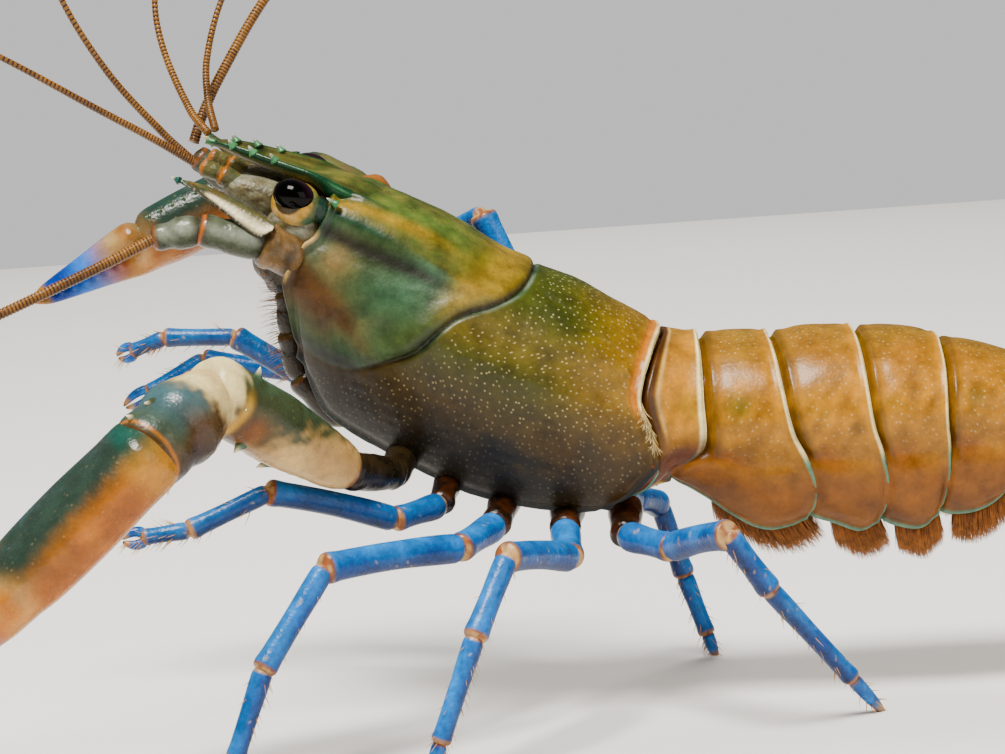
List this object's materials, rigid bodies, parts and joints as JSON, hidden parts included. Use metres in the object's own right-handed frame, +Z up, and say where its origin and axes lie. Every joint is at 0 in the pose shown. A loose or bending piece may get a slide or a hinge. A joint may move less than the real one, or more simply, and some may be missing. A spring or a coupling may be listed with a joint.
{
  "type": "freshwater crayfish model",
  "caption": "Life-size still model of a freshwater crayfish in a walking stance, with raised claws, long feelers, plated abdomen and spread tail fan.",
  "frame": {"origin": "middle of the footprint, on the surface that the animal stands on", "axes": "+Z up, the head towards -X and the tail towards +X, the animal's left side towards -Y"},
  "size_m": [0.1836, 0.1084, 0.1032],
  "materials": {
    "carapace": "glossy olive shell with pale speckles",
    "sternum": "satin cream shell between the legs",
    "abdomen": "glossy ochre shell plates with cream rims",
    "tail_fan": "satin orange-brown plates with bristle edges",
    "eye": "polished black",
    "eyestalk": "glossy cream with a teal crescent",
    "peduncle": "glossy grey-white with green rims",
    "mouthpart": "satin cream with brown bristles",
    "feeler": "satin brown and yellow rings",
    "claw": "glossy grey-green, orange and cream",
    "leg": "glossy cobalt blue with cream joints",
    "fringe": "matte brown bristles",
    "membrane": "soft satin orange skin at the joints"
  },
  "bodies": {
    "root": {"head": "carapace", "thorax": "carapace", "sternum": "sternum", "abdomen_1": "abdomen", "abdomen_2": "abdomen", "abdomen_3": "abdomen", "abdomen_4": "abdomen", "abdomen_5": "abdomen", "abdomen_6": "abdomen", "telson": "tail_fan", "uropod_inner_left": "tail_fan", "uropod_inner_right": "tail_fan", "uropod_outer_left": "tail_fan", "uropod_outer_right": "tail_fan", "eye_left": "eye", "eye_right": "eye", "eyestalk_left": "eyestalk", "eyestalk_right": "eyestalk", "antennule_left": "peduncle", "antennule_right": "peduncle", "antenna_base_left": "peduncle", "antenna_base_right": "peduncle", "antenna_scale_left": "peduncle", "antenna_scale_right": "peduncle", "maxilliped_left": "mouthpart", "maxilliped_right": "mouthpart", "feeler_left_outer": "feeler", "feeler_left_inner": "feeler", "feeler_right_outer": "feeler", "feeler_right_inner": "feeler", "antenna_left": "feeler", "antenna_right": "feeler", "claw_left_base": "claw", "claw_left_merus": "claw", "claw_left_carpus": "claw", "claw_left_palm": "claw", "claw_left_finger": "claw", "claw_right_base": "claw", "claw_right_merus": "claw", "claw_right_carpus": "claw", "claw_right_palm": "claw", "claw_right_finger": "claw", "leg_left_2_upper": "leg", "leg_left_2_lower": "leg", "leg_left_3_upper": "leg", "leg_left_3_lower": "leg", "leg_left_4_upper": "leg", "leg_left_4_lower": "leg", "leg_left_5_upper": "leg", "leg_left_5_lower": "leg", "leg_right_2_upper": "leg", "leg_right_2_lower": "leg", "leg_right_3_upper": "leg", "leg_right_3_lower": "leg", "leg_right_4_upper": "leg", "leg_right_4_lower": "leg", "leg_right_5_upper": "leg", "leg_right_5_lower": "leg"}
  },
  "joints": []
}
